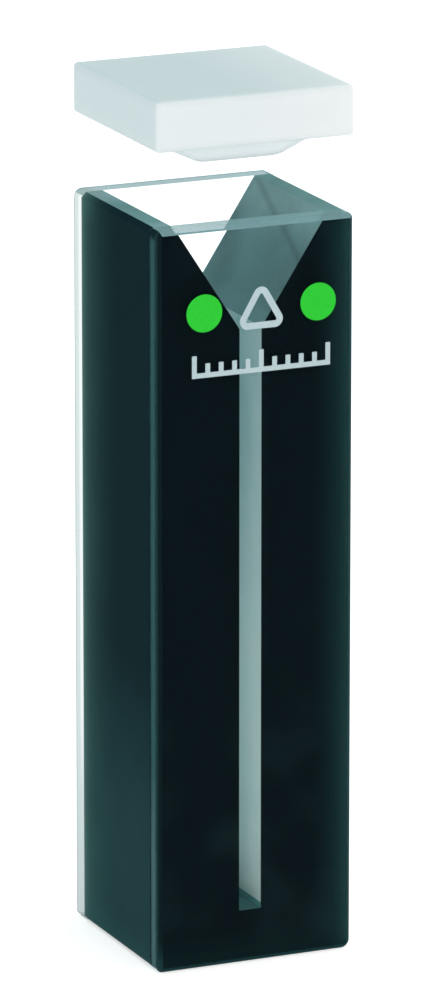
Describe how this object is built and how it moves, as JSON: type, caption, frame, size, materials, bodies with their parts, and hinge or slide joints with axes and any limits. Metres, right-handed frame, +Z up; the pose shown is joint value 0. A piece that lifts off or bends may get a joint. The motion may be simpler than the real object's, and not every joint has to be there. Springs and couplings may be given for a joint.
{
  "type": "cuvette",
  "caption": "Square black-walled micro cuvette with clear front and rear windows, a narrow channel under a funnel mouth, and a white push-in lid lifted clear above it.",
  "frame": {"origin": "centre of the cell's foot, on the surface that it stands on", "axes": "+Z up along the cell's height; -Y out of the front window, so the light path runs along Y; X across the channel"},
  "size_m": [0.0126, 0.0126, 0.0526],
  "materials": {
    "clear_glass": "polished",
    "black_glass": "gloss",
    "white_resin": "matte",
    "pale_print": "satin",
    "green_print": "satin"
  },
  "bodies": {
    "root": {"front_window": "clear_glass", "rear_window": "clear_glass", "left_block": "black_glass", "right_block": "black_glass", "base_block": "black_glass", "lid": "white_resin"}
  },
  "joints": []
}
